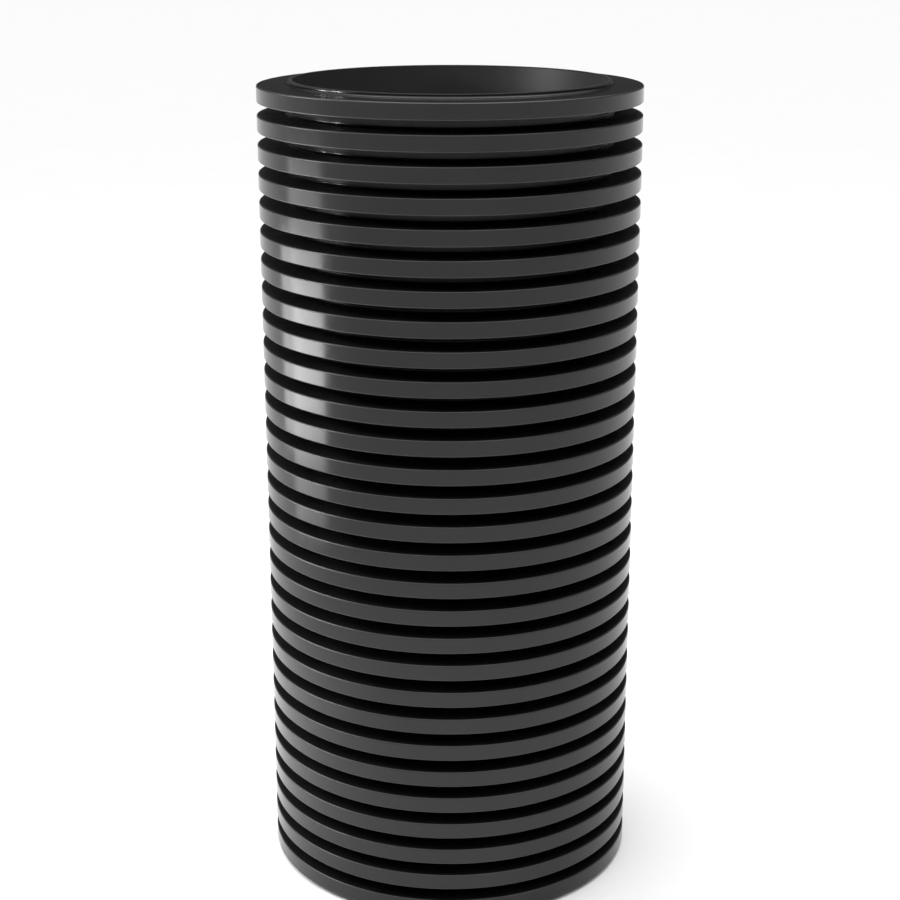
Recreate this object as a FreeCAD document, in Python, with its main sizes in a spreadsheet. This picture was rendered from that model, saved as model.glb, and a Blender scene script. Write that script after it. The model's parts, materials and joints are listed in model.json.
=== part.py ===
import FreeCAD, Part
import os
import Sketcher

# Inspection chamber shaft: one length of twin-wall corrugated polypropylene riser pipe,
# standing on end, with its axis on +Z and its lower rim on z = 0. Millimetres throughout.
#
# A smooth inner tube carries a row of flat-topped hollow ribs, all one piece. The pipe is
# sawn through in the groove past the first and the last rib, so the bare tube stands out
# of the ribs as a low rim at both ends. The air chamber inside each rib is sealed.

NODE = "shaft_pipe"

DRIVING_SIZES = {
    "bore_diameter": "488",
    "tube_wall": "7",
    "rib_height": "49",
    "rib_width": "25",
    "rib_pitch": "44.7",
    "rib_count": "29",
    "flank_lean": "1.5",
    "rib_edge_bevel": "1.2",
    "rib_root_bevel": "2.6",
    "rim_height": "7.5",
    "rim_round": "1.5",
    "liner_wall": "3",
    "rib_wall": "2.5",
}

WORKED_OUT_SIZES = {
    "bore_radius": "=bore_diameter / 2",
    "neck_radius": "=bore_radius + tube_wall",
    "rib_radius": "=neck_radius + rib_height",
    "rib_row": "=rib_pitch * (rib_count - 1)",
    "pipe_length": "=2 * rim_height + rib_width + rib_row",
    "rib_anchor_radius": "=bore_radius + tube_wall / 2",
    "chamber_floor_radius": "=bore_radius + liner_wall",
    "chamber_depth": "=rib_radius - rib_wall - chamber_floor_radius",
    "chamber_width": "=rib_width - 2 * rib_wall",
    "chamber_base": "=rim_height + rib_wall",
}

START, END = 1, 2
RADIUS_AXIS = -1
ORIGIN = (RADIUS_AXIS, START)
FULL_TURN = 360
CUBIC_MM_PER_LITRE = 1e6


def make_sheet(doc):
    """The driving sizes, and the sizes worked out from them, one to a row."""
    sheet = doc.addObject("Spreadsheet::Sheet", "sizes")
    cells = {**DRIVING_SIZES, **WORKED_OUT_SIZES}
    for row, (alias, content) in enumerate(cells.items(), start=1):
        sheet.set(f"A{row}", alias)
        sheet.set(f"B{row}", content)
        sheet.setAlias(f"B{row}", alias)
    doc.recompute()
    return sheet


def section_sketch(body, name):
    """A sketch on the body's own XZ plane: across it is the radius, up it is the height."""
    sketch = body.newObject("Sketcher::SketchObject", name)
    plane = next(f for f in body.Origin.OriginFeatures if f.Role == "XZ_Plane")
    sketch.AttachmentSupport = (plane, "")
    sketch.MapMode = "FlatFace"
    return sketch


def bind(sheet, sketch, kind, points, alias):
    """A distance or radius in a sketch that follows one cell of the sheet."""
    constraint = Sketcher.Constraint(kind, *points, sheet.get(alias))
    index = sketch.addConstraint(constraint)
    sketch.setExpression(f"Constraints[{index}]", f"{sheet.Name}.{alias}")


def closed_outline(sketch, corners):
    """Straight edges from corner to corner, each joined to the next."""
    points = [FreeCAD.Vector(radius, height, 0) for radius, height in corners]
    ends = points[1:] + points[:1]
    edges = [sketch.addGeometry(Part.LineSegment(a, b)) for a, b in zip(points, ends)]
    for edge, following in zip(edges, edges[1:] + edges[:1]):
        sketch.addConstraint(Sketcher.Constraint("Coincident", edge, END, following, START))
    return edges


def round_corner(sheet, sketch, edge, alias):
    """Rounds the corner at the far end of an edge; the sharp corner still sets the size."""
    arc = sketch.GeometryCount
    sketch.fillet(edge, END, sheet.get(alias), True, True)
    bind(sheet, sketch, "Radius", (arc,), alias)


def revolve(body, kind, name, sketch):
    """Turns a section all the way round the pipe's axis, to add to the body or cut it."""
    feature = body.newObject(kind, name)
    feature.Profile = sketch
    feature.ReferenceAxis = (sketch, ["V_Axis"])
    feature.Angle = FULL_TURN
    return feature


def repeat_up_pipe(body, sheet, name, feature):
    """One copy of a feature for each rib, a pitch apart along the pipe."""
    row = body.newObject("PartDesign::LinearPattern", name)
    row.Originals = [feature]
    axis = next(f for f in body.Origin.OriginFeatures if f.Role == "Z_Axis")
    row.Direction = (axis, [""])
    row.setExpression("Length", f"{sheet.Name}.rib_row")
    row.setExpression("Occurrences", f"{sheet.Name}.rib_count")
    body.Tip = row


def make_tube(body, sheet):
    """The inner tube from rim to rim, with its four rim edges eased."""
    inner, outer, top = sheet.bore_radius, sheet.neck_radius, sheet.pipe_length
    sketch = section_sketch(body, "tube_section")
    edges = closed_outline(sketch, [(inner, 0), (outer, 0), (outer, top), (inner, top)])
    bottom, outside, lid, bore = edges
    for edge in (bottom, lid):
        sketch.addConstraint(Sketcher.Constraint("Horizontal", edge))
    for edge in (outside, bore):
        sketch.addConstraint(Sketcher.Constraint("Vertical", edge))
    sketch.addConstraint(Sketcher.Constraint("PointOnObject", bottom, START, RADIUS_AXIS))
    bind(sheet, sketch, "DistanceX", (*ORIGIN, bottom, START), "bore_radius")
    bind(sheet, sketch, "DistanceX", (bottom, START, bottom, END), "tube_wall")
    bind(sheet, sketch, "DistanceY", (outside, START, outside, END), "pipe_length")
    for edge in edges:
        round_corner(sheet, sketch, edge, "rim_round")
    revolve(body, "PartDesign::Revolution", "tube", sketch)


def make_lowest_rib(body, sheet):
    """The lowest rib, solid, bevelled at its edges and at its root in the tube's wall."""
    anchor, neck, crest = sheet.rib_anchor_radius, sheet.neck_radius, sheet.rib_radius
    low, high = sheet.rim_height, sheet.rim_height + sheet.rib_width
    lean, bevel, root = sheet.flank_lean, sheet.rib_edge_bevel, sheet.rib_root_bevel
    sketch = section_sketch(body, "rib_section")
    edges = closed_outline(sketch, [
        (anchor, low - lean - root),
        (neck, low - lean - root),
        (neck + root, low - lean),
        (crest - bevel, low),
        (crest, low + bevel),
        (crest, high - bevel),
        (crest - bevel, high),
        (neck + root, high + lean),
        (neck, high + lean + root),
        (anchor, high + lean + root),
    ])
    low_end, low_root, low_flank, low_bevel, face = edges[:5]
    high_bevel, high_flank, high_root, high_end, hidden_side = edges[5:]
    for edge in (low_end, high_end):
        sketch.addConstraint(Sketcher.Constraint("Horizontal", edge))
    for edge in (face, hidden_side):
        sketch.addConstraint(Sketcher.Constraint("Vertical", edge))
    for kind, points, alias in (
        ("DistanceX", (*ORIGIN, low_end, START), "rib_anchor_radius"),
        ("DistanceX", (*ORIGIN, low_end, END), "neck_radius"),
        ("DistanceX", (low_root, START, face, START), "rib_height"),
        ("DistanceX", (high_root, END, face, END), "rib_height"),
        ("DistanceX", (low_root, START, low_root, END), "rib_root_bevel"),
        ("DistanceX", (high_root, END, high_root, START), "rib_root_bevel"),
        ("DistanceX", (low_bevel, START, low_bevel, END), "rib_edge_bevel"),
        ("DistanceX", (high_bevel, END, high_bevel, START), "rib_edge_bevel"),
        ("DistanceY", (*ORIGIN, low_flank, END), "rim_height"),
        ("DistanceY", (low_flank, END, high_flank, START), "rib_width"),
        ("DistanceY", (low_flank, START, low_flank, END), "flank_lean"),
        ("DistanceY", (high_flank, START, high_flank, END), "flank_lean"),
        ("DistanceY", (low_root, START, low_root, END), "rib_root_bevel"),
        ("DistanceY", (high_root, START, high_root, END), "rib_root_bevel"),
        ("DistanceY", (low_bevel, START, low_bevel, END), "rib_edge_bevel"),
        ("DistanceY", (high_bevel, START, high_bevel, END), "rib_edge_bevel"),
    ):
        bind(sheet, sketch, kind, points, alias)
    return revolve(body, "PartDesign::Revolution", "lowest_rib", sketch)


def make_lowest_chamber(body, sheet):
    """The air chamber in the lowest rib, which the liner closes on the bore side."""
    floor = sheet.chamber_floor_radius
    roof = floor + sheet.chamber_depth
    low, high = sheet.chamber_base, sheet.chamber_base + sheet.chamber_width
    lean = sheet.flank_lean
    sketch = section_sketch(body, "chamber_section")
    edges = closed_outline(
        sketch, [(floor, low - lean), (roof, low), (roof, high), (floor, high + lean)]
    )
    low_flank, roof_edge, high_flank, floor_edge = edges
    for edge in (roof_edge, floor_edge):
        sketch.addConstraint(Sketcher.Constraint("Vertical", edge))
    bind(sheet, sketch, "DistanceX", (*ORIGIN, low_flank, START), "chamber_floor_radius")
    bind(sheet, sketch, "DistanceX", (low_flank, START, low_flank, END), "chamber_depth")
    bind(sheet, sketch, "DistanceY", (*ORIGIN, roof_edge, START), "chamber_base")
    bind(sheet, sketch, "DistanceY", (roof_edge, START, roof_edge, END), "chamber_width")
    for flank in (low_flank, high_flank):
        bind(sheet, sketch, "DistanceY", (flank, START, flank, END), "flank_lean")
    return revolve(body, "PartDesign::Groove", "lowest_chamber", sketch)


def make_pipe(doc, sheet):
    """The whole pipe: the tube, the row of ribs on it, and the row of chambers in them."""
    body = doc.addObject("PartDesign::Body", NODE)
    body.Label = NODE
    make_tube(body, sheet)
    repeat_up_pipe(body, sheet, "rib_row", make_lowest_rib(body, sheet))
    doc.recompute()
    solid_ribs = body.Shape.Volume
    repeat_up_pipe(body, sheet, "chamber_row", make_lowest_chamber(body, sheet))
    doc.recompute()
    if body.Shape.Volume >= solid_ribs:
        raise RuntimeError("the chambers cut nothing out of the ribs")
    return body


def check(doc, body):
    """Stops the build if anything failed to compute or the pipe isn't one sound solid."""
    for item in doc.Objects:
        if {"Invalid", "Error"} & set(item.State):
            raise RuntimeError(f"{item.Name} did not compute: {item.State}")
    shape = body.Shape
    if shape.isNull() or not shape.isValid() or len(shape.Solids) != 1:
        raise RuntimeError(f"{body.Label} is not one valid solid")


def main():
    doc = FreeCAD.newDocument("inspection_chamber_shaft")
    sheet = make_sheet(doc)
    body = make_pipe(doc, sheet)
    check(doc, body)
    os.makedirs("parts", exist_ok=True)
    body.Shape.exportStep(f"parts/{body.Label}.step")
    box = body.Shape.optimalBoundingBox()
    print(f"{body.Label}: {box.XLength:.2f} x {box.YLength:.2f} x {box.ZLength:.2f} mm")
    print(f"{body.Label}: {body.Shape.Volume / CUBIC_MM_PER_LITRE:.3f} litres of plastic")


main()
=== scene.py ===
import json
import math

import bpy
from mathutils import Matrix, Vector


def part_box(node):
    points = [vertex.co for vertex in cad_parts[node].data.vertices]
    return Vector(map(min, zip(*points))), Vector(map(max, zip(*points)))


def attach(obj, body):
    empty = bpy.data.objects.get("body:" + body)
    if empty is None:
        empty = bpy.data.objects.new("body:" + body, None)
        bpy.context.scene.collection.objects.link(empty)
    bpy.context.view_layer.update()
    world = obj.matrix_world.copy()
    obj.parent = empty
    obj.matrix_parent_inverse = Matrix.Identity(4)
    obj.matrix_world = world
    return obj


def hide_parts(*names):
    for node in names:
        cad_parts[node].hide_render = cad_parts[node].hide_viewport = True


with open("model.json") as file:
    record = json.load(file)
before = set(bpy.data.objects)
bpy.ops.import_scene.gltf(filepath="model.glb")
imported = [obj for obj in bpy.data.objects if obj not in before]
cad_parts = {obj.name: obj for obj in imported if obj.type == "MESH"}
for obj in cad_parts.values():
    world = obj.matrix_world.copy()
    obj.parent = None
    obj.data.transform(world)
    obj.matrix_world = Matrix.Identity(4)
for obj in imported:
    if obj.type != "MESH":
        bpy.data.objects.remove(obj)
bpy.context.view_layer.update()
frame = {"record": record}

# Inspection chamber shaft: one length of black twin-wall corrugated pipe standing on end,
# with its axis on +Z. The frame gives the outside size and the bore. The section between
# them is worked out again here, because the visible pipe is a finer mesh than the CAD
# solid: its edges are rounded and it carries the two lines of its mould.

# ---- sizes, in metres ------------------------------------------------------------------

MM = 0.001
MOUNTS = {mount["name"]: mount for mount in frame["record"]["mounts"]}
BORE_RADIUS = MOUNTS["bore"]["dims"]["r_mm"] * MM
LOW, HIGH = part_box("shaft_pipe")
RIB_RADIUS = min(HIGH[0] - LOW[0], HIGH[1] - LOW[1]) / 2
PIPE_LENGTH = HIGH[2] - LOW[2]
TUBE_WALL = 7 * MM
RIB_WIDTH = 25 * MM
RIB_PITCH = 44.7 * MM
FLANK_LEAN = 1.5 * MM
EDGE_ROUND = 2 * MM
ROOT_ROUND = 4.5 * MM
RIM_HEIGHT = 7.5 * MM
RIM_ROUND = 1.5 * MM
PARTING_LINE_DEPTH = 0.35 * MM
PARTING_LINE_HALF_ANGLE = math.radians(0.18)

NECK_RADIUS = BORE_RADIUS + TUBE_WALL
RIB_COUNT = round((PIPE_LENGTH - 2 * RIM_HEIGHT - RIB_WIDTH) / RIB_PITCH) + 1

# How finely the mesh is divided: columns round the axis, and faces across each rounding.
COLUMNS = 168
ROOT_STEPS = 4
EDGE_STEPS = 3
RIM_STEPS = 3

# The pipe's surfaces, in the order that make_materials gives them their plastics.
RIBS, EDGE, FLANK, GROOVE, BORE, SAWN = range(6)


# ---- shape -----------------------------------------------------------------------------

def section_corners():
    """The pipe's section as sharp corners, lower rim first and up the outside.

    Each is its radius, height, rounding and steps, then the surface of its rounding and
    the surface that follows it.
    """
    corners = [(NECK_RADIUS, 0, RIM_ROUND, RIM_STEPS, SAWN, GROOVE)]
    for rib in range(RIB_COUNT):
        low = RIM_HEIGHT + rib * RIB_PITCH
        high = low + RIB_WIDTH
        # The top rib's upper side, open to the light, keeps the rib plastic; the lower rib
        # sides take the darker plastic as painted shade.
        upper_side = RIBS if rib == RIB_COUNT - 1 else FLANK
        corners += [
            (NECK_RADIUS, low - FLANK_LEAN, ROOT_ROUND, ROOT_STEPS, GROOVE, FLANK),
            (RIB_RADIUS, low, EDGE_ROUND, EDGE_STEPS, EDGE, RIBS),
            (RIB_RADIUS, high, EDGE_ROUND, EDGE_STEPS, EDGE, upper_side),
            (NECK_RADIUS, high + FLANK_LEAN, ROOT_ROUND, ROOT_STEPS, GROOVE, GROOVE),
        ]
    corners += [
        (NECK_RADIUS, PIPE_LENGTH, RIM_ROUND, RIM_STEPS, SAWN, SAWN),
        (BORE_RADIUS, PIPE_LENGTH, RIM_ROUND, RIM_STEPS, SAWN, BORE),
        (BORE_RADIUS, 0, RIM_ROUND, RIM_STEPS, SAWN, SAWN),
    ]
    return corners


def rounded_section():
    """The section as (point, outward normal, surface after it), its corners rounded."""
    corners = section_corners()
    points = [Vector(corner[:2]) for corner in corners]
    section = []
    for i, (_, _, rounding, steps, round_surface, surface_after) in enumerate(corners):
        before = (points[i] - points[i - 1]).normalized()
        after = (points[(i + 1) % len(points)] - points[i]).normalized()
        bend = math.copysign(before.angle(after), before.cross(after))
        start = points[i] - before * rounding * math.tan(abs(bend) / 2)
        outward = Vector((before.y, -before.x))
        centre = start - outward * math.copysign(rounding, bend)
        for step in range(steps + 1):
            normal = outward.copy()
            normal.rotate(Matrix.Rotation(bend * step / steps, 2))
            point = centre + normal * math.copysign(rounding, bend)
            surface = round_surface if step < steps else surface_after
            section.append((point, normal, surface))
    return section


def column_angles():
    """Where the section is repeated round the axis, closer together at each parting line."""
    angles = [2 * math.pi * i / COLUMNS for i in range(COLUMNS)]
    for line in (0, math.pi):
        angles += [line - PARTING_LINE_HALF_ANGLE, line + PARTING_LINE_HALF_ANGLE]
    return sorted(angle % (2 * math.pi) for angle in angles)


def on_parting_line(angle):
    """True on the two lines, half a turn apart, where the corrugator's mould halves meet."""
    return min(angle % math.pi, -angle % math.pi) < PARTING_LINE_HALF_ANGLE / 2


def build_pipe():
    """The pipe as one closed mesh of revolution, with the section's own normals."""
    section = rounded_section()
    angles = column_angles()
    vertices, normals, faces, surfaces = [], [], [], []
    for angle in angles:
        turn = Vector((math.cos(angle), math.sin(angle), 0))
        for point, normal, surface in section:
            radius, height = point
            if on_parting_line(angle) and radius > NECK_RADIUS + ROOT_ROUND:
                radius -= PARTING_LINE_DEPTH
            vertices.append(turn * radius + Vector((0, 0, height)))
            normals.append(turn * normal.x + Vector((0, 0, normal.y)))
    rings = len(section)
    for column in range(len(angles)):
        here, there = column * rings, (column + 1) % len(angles) * rings
        for ring in range(rings):
            following = (ring + 1) % rings
            faces.append((here + ring, there + ring, there + following, here + following))
            surfaces.append(section[ring][2])
    mesh = bpy.data.meshes.new("corrugated_pipe")
    mesh.from_pydata(vertices, [], faces)
    mesh.polygons.foreach_set("material_index", surfaces)
    mesh.polygons.foreach_set("use_smooth", [True] * len(faces))
    mesh.update()
    mesh.normals_split_custom_set_from_vertices(normals)
    pipe = bpy.data.objects.new("corrugated_pipe", mesh)
    bpy.context.collection.objects.link(pipe)
    return pipe


# ---- materials -------------------------------------------------------------------------

# The sockets of a Mix node that is set to colours.
MIX_FACTOR, MIX_LOW, MIX_HIGH, MIX_RESULT = 0, 6, 7, 2

# Most of a noise pattern's values lie between these two.
NOISE_LOW, NOISE_HIGH = 0.3, 0.7

# Noise scales and details shared by the six plastics, and how strongly they show as relief.
CLOUDS, SCUFFS, RIPPLE = (9, 4), (60, 6), (14, 1)
GRAIN_DETAIL = 3
GRAIN_STRENGTH = 0.5
RIPPLE_STRENGTH = 0.2
RIPPLE_DEPTH = 0.3 * MM
PLASTIC_IOR = 1.49
PLASTIC_SPECULAR = 0.5
BLUE_CAST = 1.06

# How a grain lies: the same all ways, drawn out along the pipe, or drawn out across it.
EVEN, LENGTHWISE, ACROSS = (1, 1, 1), (1, 1, 0.05), (1, 0.15, 1)


def new_material(name):
    material = bpy.data.materials.new(name)
    material.use_nodes = True
    nodes = material.node_tree.nodes
    return material, nodes, material.node_tree.links, nodes["Principled BSDF"]


def noise_of(nodes, links, source, scale, detail, stretch=EVEN):
    """A noise pattern on object coordinates; a stretch below 1 draws it out along an axis."""
    mapping = nodes.new("ShaderNodeMapping")
    mapping.inputs["Scale"].default_value = stretch
    pattern = nodes.new("ShaderNodeTexNoise")
    pattern.inputs["Scale"].default_value = scale
    pattern.inputs["Detail"].default_value = detail
    links.new(source, mapping.inputs["Vector"])
    links.new(mapping.outputs["Vector"], pattern.inputs["Vector"])
    return pattern.outputs["Fac"]


def ramp(nodes, links, value, low, high):
    """Turns a pattern's middle values into the range low to high."""
    spread = nodes.new("ShaderNodeMapRange")
    spread.inputs["From Min"].default_value = NOISE_LOW
    spread.inputs["From Max"].default_value = NOISE_HIGH
    spread.inputs["To Min"].default_value = low
    spread.inputs["To Max"].default_value = high
    links.new(value, spread.inputs["Value"])
    return spread.outputs["Result"]


def bump(nodes, links, height, distance, strength, under=None):
    """Relief from a pattern, over another relief if one is given."""
    relief = nodes.new("ShaderNodeBump")
    relief.inputs["Distance"].default_value = distance
    relief.inputs["Strength"].default_value = strength
    links.new(height, relief.inputs["Height"])
    if under:
        links.new(under, relief.inputs["Normal"])
    return relief.outputs["Normal"]


def mixed_colour(nodes, links, value, dark, light):
    """A colour that drifts between dark and light as the pattern does."""
    mix = nodes.new("ShaderNodeMix")
    mix.data_type = "RGBA"
    mix.inputs[MIX_LOW].default_value = (*dark, 1)
    mix.inputs[MIX_HIGH].default_value = (*light, 1)
    links.new(ramp(nodes, links, value, 0, 1), mix.inputs[MIX_FACTOR])
    return mix.outputs[MIX_RESULT]


def near_black(level):
    return (level, level, level * BLUE_CAST)


def black_plastic(name, grain, roughness, levels, specular=PLASTIC_SPECULAR):
    """Black polypropylene with clouded colour, scuffed gloss, a fine grain and a ripple.

    The grain is its noise scale, how it lies and its depth. The roughness and the levels of
    grey are each a range, low then high.
    """
    grain_scale, grain_lie, grain_depth = grain
    dark, light = (near_black(level) for level in levels)
    material, nodes, links, shader = new_material(name)
    where = nodes.new("ShaderNodeTexCoord").outputs["Object"]
    clouds = noise_of(nodes, links, where, *CLOUDS)
    scuffs = noise_of(nodes, links, where, *SCUFFS)
    fine = noise_of(nodes, links, where, grain_scale, GRAIN_DETAIL, grain_lie)
    ripple = noise_of(nodes, links, where, *RIPPLE)
    links.new(mixed_colour(nodes, links, clouds, dark, light), shader.inputs["Base Color"])
    links.new(ramp(nodes, links, scuffs, *roughness), shader.inputs["Roughness"])
    relief = bump(nodes, links, ripple, RIPPLE_DEPTH, RIPPLE_STRENGTH)
    relief = bump(nodes, links, fine, grain_depth, GRAIN_STRENGTH, relief)
    links.new(relief, shader.inputs["Normal"])
    shader.inputs["IOR"].default_value = PLASTIC_IOR
    shader.inputs["Specular IOR Level"].default_value = specular
    return material


def make_materials(pipe):
    """One plastic in six versions, in the order of the surfaces that wear them; their greys
    carry painted light and shade as noted at each.
    """
    for material in (
        black_plastic("moulded_ribs", (900, EVEN, 0.03 * MM), (0.14, 0.20),
                      (0.004, 0.007), specular=0.45),
        # The edges' lighter grey is partly wear and partly a painted highlight for the light
        # lines along the rib edges.
        black_plastic("worn_and_painted_highlight_rib_edges", (900, EVEN, 0.03 * MM), (0.32, 0.42),
                      (0.010, 0.022)),
        # The rib sides' darker grey is painted shade for the sides in shadow between the
        # ribs.
        black_plastic("rib_sides_painted_shade", (500, EVEN, 0.05 * MM), (0.42, 0.55),
                      (0.003, 0.006), specular=0.3),
        # The grooves' darker grey is painted shade for the recesses between the ribs.
        black_plastic("moulded_grooves_painted_shade", (500, EVEN, 0.02 * MM), (0.17, 0.22),
                      (0.0025, 0.0045), specular=0.3),
        # The liner's grey, several times lighter than the outside's, is painted light for the
        # inside of the bore.
        black_plastic("smooth_liner_painted_light", (350, LENGTHWISE, 0.05 * MM), (0.40, 0.46),
                      (0.030, 0.038)),
        black_plastic("sawn_ends", (1500, ACROSS, 0.15 * MM), (0.55, 0.70),
                      (0.004, 0.009), specular=0.2),
    ):
        pipe.data.materials.append(material)


# ---- studio ----------------------------------------------------------------------------

FLOOR_REACH = 60
FLOOR_DARK, FLOOR_LIGHT = (0.915, 0.915, 0.915), (0.925, 0.925, 0.925)
FLOOR_CLOUDS = (3, 4)
FLOOR_ROUGHNESS = 0.9

# The ceiling's glow comes in between these heights of direction, 0 level and 1 straight up.
CEILING_START, CEILING_FULL = 0.35, 0.9
EYE_LEVEL_LIGHT, CEILING_LIGHT = 0.05, 1.8
WHITE = (1, 1, 1, 1)
BACKDROP = (0.96, 0.96, 0.96, 1)
LIT_SOCKET, SEEN_SOCKET = 1, 2

# The box on the left is three layers with one front edge, each set behind the last so that
# none hides another. A layer is its width, its height and its watts per square metre.
LEFT_BOX_LAYERS = ((0.50, 0.25, 8.2), (0.80, 0.45, 12.2), (0.58, 0.80, 7.4))
LEFT_BOX_SIDE = -1.2
LEFT_BOX_FRONT = -0.39
LEFT_BOX_HEIGHT = 0.67
LEFT_BOX_GAP = 0.015

# Two narrow slots of light, high on the left, for the paired glints under the ribs.
SLOT_WIDTH, SLOT_HEIGHT = 0.06, 0.3
SLOT_AIM = (0, 0, 1.25)
REAR_SLOT_PLACE, REAR_SLOT_WATTS = (-1.47, 0.08, 1.56), 6
FRONT_SLOT_PLACE, FRONT_SLOT_WATTS = (-1.52, -0.28, 1.56), 9

TOP_BOX_PLACE, TOP_BOX_AIM = (0, 0, 3.6), (0, 0, 0)
TOP_BOX_WIDTH, TOP_BOX_WATTS = 3, 60

# The camera, as fitted to the rib edges in the photograph.
CAMERA_DISTANCE = 2.890
CAMERA_ABOVE_TOP_RIB = 0.2646
CAMERA_PITCH_DOWN = 16.54
LENS_MM = 73.38
SENSOR_MM = 36
CAMERA_REACH = 200


def make_floor():
    """A plain pale floor that runs out of sight."""
    material, nodes, links, shader = new_material("pale_floor")
    where = nodes.new("ShaderNodeTexCoord").outputs["Object"]
    clouds = noise_of(nodes, links, where, *FLOOR_CLOUDS)
    tint = mixed_colour(nodes, links, clouds, FLOOR_DARK, FLOOR_LIGHT)
    links.new(tint, shader.inputs["Base Color"])
    shader.inputs["Roughness"].default_value = FLOOR_ROUGHNESS
    corners = [(x * FLOOR_REACH, y * FLOOR_REACH, 0)
               for x, y in ((-1, -1), (1, -1), (1, 1), (-1, 1))]
    mesh = bpy.data.meshes.new("floor")
    mesh.from_pydata(corners, [], [(0, 1, 2, 3)])
    mesh.materials.append(material)
    floor = bpy.data.objects.new("floor", mesh)
    bpy.context.collection.objects.link(floor)


def make_world():
    """A room that is bright overhead and dim at eye level, before a plain pale backdrop.

    The camera sees the backdrop, and everything else is lit by the room.
    """
    world = bpy.data.worlds.new("studio")
    bpy.context.scene.world = world
    world.use_nodes = True
    nodes, links = world.node_tree.nodes, world.node_tree.links
    direction = nodes.new("ShaderNodeTexCoord").outputs["Generated"]
    height = nodes.new("ShaderNodeSeparateXYZ")
    links.new(direction, height.inputs["Vector"])
    ceiling = nodes.new("ShaderNodeMapRange")
    ceiling.interpolation_type = "SMOOTHSTEP"
    ceiling.inputs["From Min"].default_value = CEILING_START
    ceiling.inputs["From Max"].default_value = CEILING_FULL
    ceiling.inputs["To Min"].default_value = EYE_LEVEL_LIGHT
    ceiling.inputs["To Max"].default_value = CEILING_LIGHT
    links.new(height.outputs["Z"], ceiling.inputs["Value"])
    room = nodes["Background"]
    room.inputs["Color"].default_value = WHITE
    links.new(ceiling.outputs["Result"], room.inputs["Strength"])
    backdrop = nodes.new("ShaderNodeBackground")
    backdrop.inputs["Color"].default_value = BACKDROP
    ray = nodes.new("ShaderNodeLightPath")
    choice = nodes.new("ShaderNodeMixShader")
    links.new(ray.outputs["Is Camera Ray"], choice.inputs["Fac"])
    links.new(room.outputs["Background"], choice.inputs[LIT_SOCKET])
    links.new(backdrop.outputs["Background"], choice.inputs[SEEN_SOCKET])
    links.new(choice.outputs["Shader"], nodes["World Output"].inputs["Surface"])


def soft_box(name, place, aim, width, height, power):
    """A rectangular lamp that the camera doesn't see."""
    lamp = bpy.data.lights.new(name, "AREA")
    lamp.shape = "RECTANGLE"
    lamp.size, lamp.size_y = width, height
    lamp.energy = power
    box = bpy.data.objects.new(name, lamp)
    box.location = place
    box.rotation_euler = (Vector(aim) - Vector(place)).to_track_quat("-Z", "Y").to_euler()
    box.visible_camera = False
    bpy.context.collection.objects.link(box)


def make_lamps():
    """One large box overhead, a layered box on the left and two slots higher up beyond it."""
    for layer, (width, height, watts_per_square_metre) in enumerate(LEFT_BOX_LAYERS):
        side = LEFT_BOX_SIDE - layer * LEFT_BOX_GAP
        middle = LEFT_BOX_FRONT + width / 2
        soft_box("left_box", (side, middle, LEFT_BOX_HEIGHT), (0, middle, LEFT_BOX_HEIGHT),
                 width, height, width * height * watts_per_square_metre)
    soft_box("rear_slot", REAR_SLOT_PLACE, SLOT_AIM,
             SLOT_WIDTH, SLOT_HEIGHT, REAR_SLOT_WATTS)
    soft_box("front_slot", FRONT_SLOT_PLACE, SLOT_AIM,
             SLOT_WIDTH, SLOT_HEIGHT, FRONT_SLOT_WATTS)
    soft_box("top_box", TOP_BOX_PLACE, TOP_BOX_AIM,
             TOP_BOX_WIDTH, TOP_BOX_WIDTH, TOP_BOX_WATTS)


def make_camera():
    """The photograph's view, from a little above the pipe and looking down."""
    lens = bpy.data.cameras.new("camera")
    lens.lens = LENS_MM
    lens.sensor_width = SENSOR_MM
    lens.clip_end = CAMERA_REACH
    camera = bpy.data.objects.new("camera", lens)
    camera_height = PIPE_LENGTH - RIM_HEIGHT + CAMERA_ABOVE_TOP_RIB
    camera.location = (0, -CAMERA_DISTANCE, camera_height)
    camera.rotation_euler = (math.radians(90 - CAMERA_PITCH_DOWN), 0, 0)
    bpy.context.collection.objects.link(camera)
    bpy.context.scene.camera = camera


pipe = build_pipe()
make_materials(pipe)
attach(pipe, "root")
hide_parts("shaft_pipe")
make_floor()
make_world()
make_lamps()
make_camera()
bpy.context.scene.view_settings.view_transform = "Standard"
